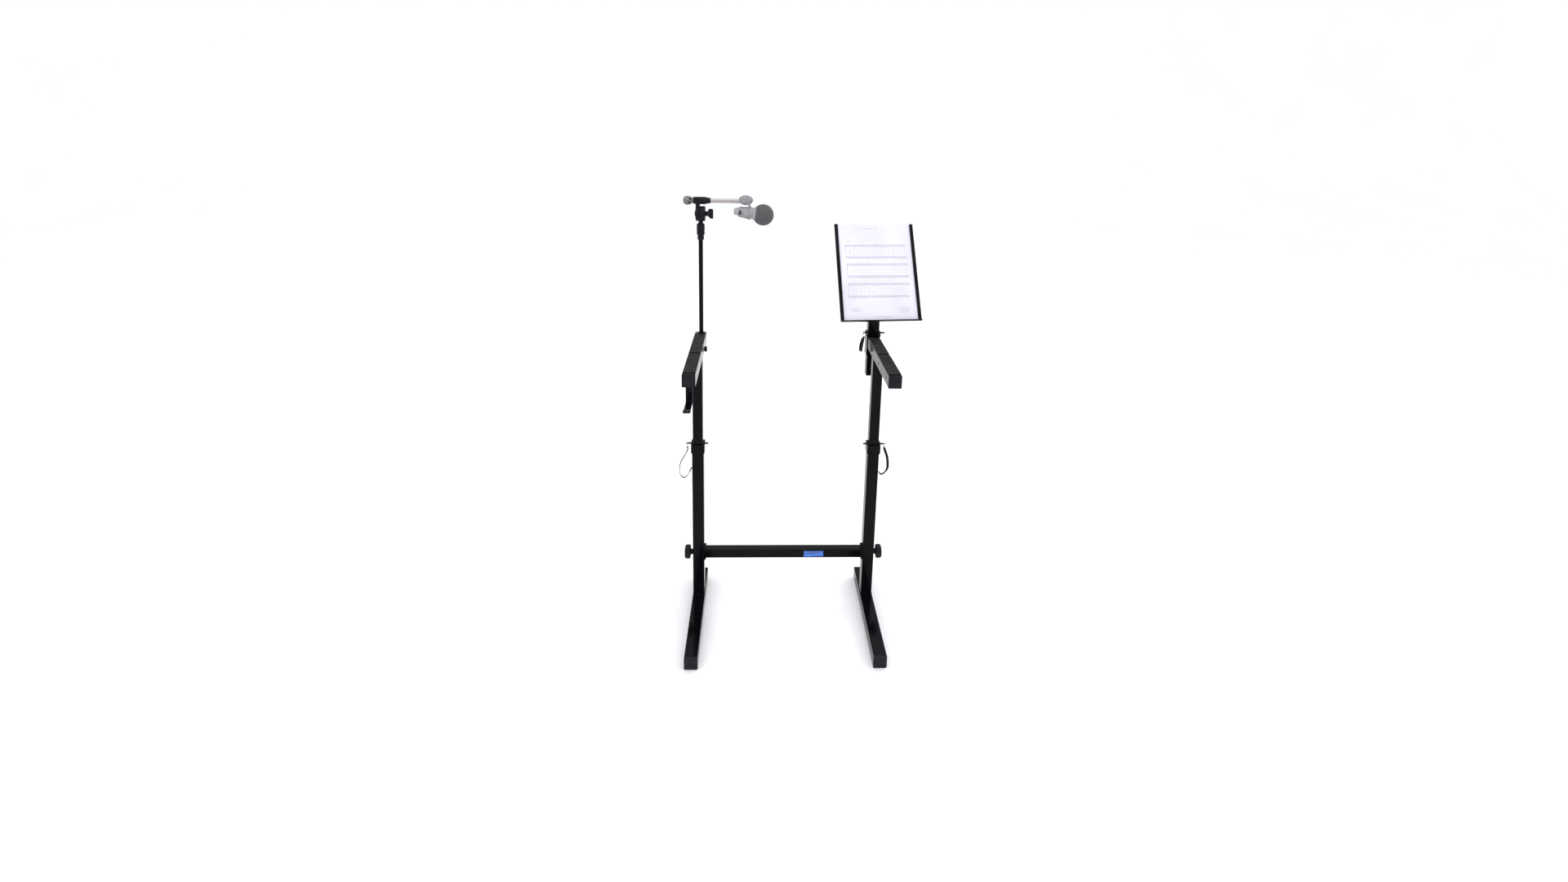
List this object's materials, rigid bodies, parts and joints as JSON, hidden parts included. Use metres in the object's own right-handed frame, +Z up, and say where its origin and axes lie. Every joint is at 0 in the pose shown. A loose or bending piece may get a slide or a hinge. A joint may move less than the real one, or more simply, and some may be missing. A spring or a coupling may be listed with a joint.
{
  "type": "music stand",
  "caption": "Table-style music stand: two feet and telescoping uprights with a crossbar, padded arms, a tilting music holder and a swivelling microphone boom.",
  "frame": {"origin": "on the floor, midway between the two uprights", "axes": "+X to the player's right, +Y away from the player, +Z up"},
  "size_m": [0.7229, 0.497, 1.286],
  "materials": {
    "frame_black": "satin black powder coat",
    "tube_black": "semi-gloss black powder coat",
    "plastic_black": "fine moulded texture",
    "rubber_black": "matt ribbed rubber",
    "pin_black": "blackened steel",
    "webbing": "woven flat webbing",
    "label_blue": "gloss sticker",
    "screw_steel": "zinc plated",
    "desk_black": "fine black powder coat",
    "paper_white": "uncoated printed paper",
    "boom_metal": "satin grey metal",
    "boom_grey": "perforated grey cover",
    "pale_grey": "pale grey moulded plastic",
    "mic_grey": "pale grey satin paint",
    "grille_steel": "woven wire mesh"
  },
  "bodies": {
    "frame": {"left_foot": "frame_black", "right_foot": "frame_black", "foot_caps": "plastic_black", "foot_glides": "rubber_black", "left_upright": "frame_black", "right_upright": "frame_black", "left_collar": "frame_black", "right_collar": "frame_black", "crossbar": "frame_black", "crossbar_flanges": "frame_black", "crossbar_label": "label_blue", "strap_anchors": "frame_black", "left_lanyard_lower": "webbing", "right_lanyard_lower": "webbing"},
    "left_knob": {"left_crossbar_knob": "plastic_black"},
    "right_knob": {"right_crossbar_knob": "plastic_black"},
    "left_riser": {"left_riser_tube": "tube_black", "left_riser_guide": "plastic_black", "left_arm": "frame_black", "left_arm_caps": "plastic_black", "left_arm_pads": "rubber_black", "headphone_hook": "frame_black", "hook_screws": "screw_steel", "mic_pole_socket": "plastic_black"},
    "thumb_knob": {"left_thumb_knob": "plastic_black"},
    "left_pin": {"left_lock_pin": "pin_black", "left_lanyard_upper": "webbing"},
    "right_riser": {"right_riser_tube": "tube_black", "right_riser_guide": "plastic_black", "right_arm": "frame_black", "right_arm_front_cap": "plastic_black", "right_arm_pads": "rubber_black", "holder_sleeve": "frame_black", "holder_collar": "frame_black"},
    "right_pin": {"right_lock_pin": "pin_black", "right_lanyard_upper": "webbing"},
    "post": {"holder_post": "tube_black", "holder_post_plugs": "plastic_black"},
    "holder_pin": {"holder_lock_pin": "pin_black", "holder_lanyard": "webbing"},
    "yoke": {"holder_yoke": "desk_black"},
    "desk": {"music_desk": "desk_black", "desk_rails": "desk_black", "desk_bracket": "desk_black"},
    "desk_knob": {"desk_tilt_knob": "plastic_black"},
    "sheet": {"music_sheet": "paper_white"},
    "pole": {"mic_pole": "tube_black", "clutch_ring": "plastic_black"},
    "clutch": {"clutch_sleeve": "plastic_black"},
    "boom_base": {"boom_rod": "boom_metal", "boom_tilt_base": "plastic_black"},
    "boom_head": {"boom_clamp_head": "plastic_black"},
    "wing_knob": {"boom_wing_knob": "plastic_black"},
    "boom_nut": {"boom_clamp_nut": "plastic_black"},
    "boom": {"boom_tube": "boom_metal", "boom_end_grip": "boom_grey", "boom_knuckle": "pale_grey"},
    "clip": {"mic_clip": "pale_grey"},
    "microphone": {"mic_handle": "mic_grey", "mic_grille": "grille_steel"}
  },
  "joints": [
    {"name": "left_knob_turn", "type": "hinge", "parent": "frame", "child": "left_knob", "pos_m": [-0.2995, 0, 0.182], "axis": [1, 0, 0], "continuous": true},
    {"name": "right_knob_turn", "type": "hinge", "parent": "frame", "child": "right_knob", "pos_m": [0.2995, 0, 0.182], "axis": [1, 0, 0], "continuous": true},
    {"name": "left_height", "type": "slide", "parent": "frame", "child": "left_riser", "axis": [0, 0, 1], "range_m": [0, 0.076]},
    {"name": "thumb_knob_turn", "type": "hinge", "parent": "left_riser", "child": "thumb_knob", "pos_m": [-0.2425, 0.003, 0.8455], "axis": [1, 0, 0], "continuous": true},
    {"name": "left_pin_pull", "type": "slide", "parent": "left_riser", "child": "left_pin", "axis": [-1, 0, 0], "range_m": [0, 0.06]},
    {"name": "right_height", "type": "slide", "parent": "frame", "child": "right_riser", "axis": [0, 0, 1], "range_m": [0, 0.076]},
    {"name": "right_pin_pull", "type": "slide", "parent": "right_riser", "child": "right_pin", "axis": [1, 0, 0], "range_m": [0, 0.06]},
    {"name": "holder_height", "type": "slide", "parent": "right_riser", "child": "post", "axis": [0, 0, 1], "range_m": [0, 0.06]},
    {"name": "holder_pin_pull", "type": "slide", "parent": "post", "child": "holder_pin", "axis": [-1, 0, 0], "range_m": [0, 0.06]},
    {"name": "holder_swivel", "type": "hinge", "parent": "post", "child": "yoke", "pos_m": [0.265, 0.1, 1], "axis": [0, 0, 1], "range_deg": [-60, 60]},
    {"name": "desk_tilt", "type": "hinge", "parent": "yoke", "child": "desk", "pos_m": [0.265, 0.1, 1.024], "axis": [-0.9952, -0.0976, 0], "range_deg": [-22, 40]},
    {"name": "desk_knob_turn", "type": "hinge", "parent": "desk", "child": "desk_knob", "pos_m": [0.265, 0.1, 1.024], "axis": [0.9952, 0.0976, 0], "continuous": true},
    {"name": "sheet_lift", "type": "slide", "parent": "desk", "child": "sheet", "axis": [-0.0458, 0.4672, 0.8829], "range_m": [0, 0.2]},
    {"name": "pole_swivel", "type": "hinge", "parent": "left_riser", "child": "pole", "pos_m": [-0.2625, 0.105, 0.9], "axis": [0, 0, 1], "continuous": true},
    {"name": "clutch_turn", "type": "hinge", "parent": "pole", "child": "clutch", "pos_m": [-0.2625, 0.105, 1.18], "axis": [0, 0, 1], "continuous": true},
    {"name": "pole_height", "type": "slide", "parent": "pole", "child": "boom_base", "axis": [0, 0, 1], "range_m": [0, 0.12]},
    {"name": "boom_tilt", "type": "hinge", "parent": "boom_base", "child": "boom_head", "pos_m": [-0.2645, 0.105, 1.23], "axis": [1, 0, 0], "range_deg": [-45, 45]},
    {"name": "wing_knob_turn", "type": "hinge", "parent": "boom_head", "child": "wing_knob", "pos_m": [-0.237, 0.105, 1.23], "axis": [1, 0, 0], "continuous": true},
    {"name": "boom_nut_turn", "type": "hinge", "parent": "boom_head", "child": "boom_nut", "pos_m": [-0.28, 0.105, 1.2685], "axis": [1, 0, 0], "continuous": true},
    {"name": "boom_reach", "type": "slide", "parent": "boom_head", "child": "boom", "axis": [-1, 0, 0], "range_m": [0, 0.045]},
    {"name": "clip_tilt", "type": "hinge", "parent": "boom", "child": "clip", "pos_m": [-0.119, 0.105, 1.263], "axis": [0, 1, 0], "range_deg": [-40, 12]},
    {"name": "mic_slide", "type": "slide", "parent": "clip", "child": "microphone", "axis": [0.9934, 0, -0.1149], "range_m": [0, 0.08]}
  ]
}
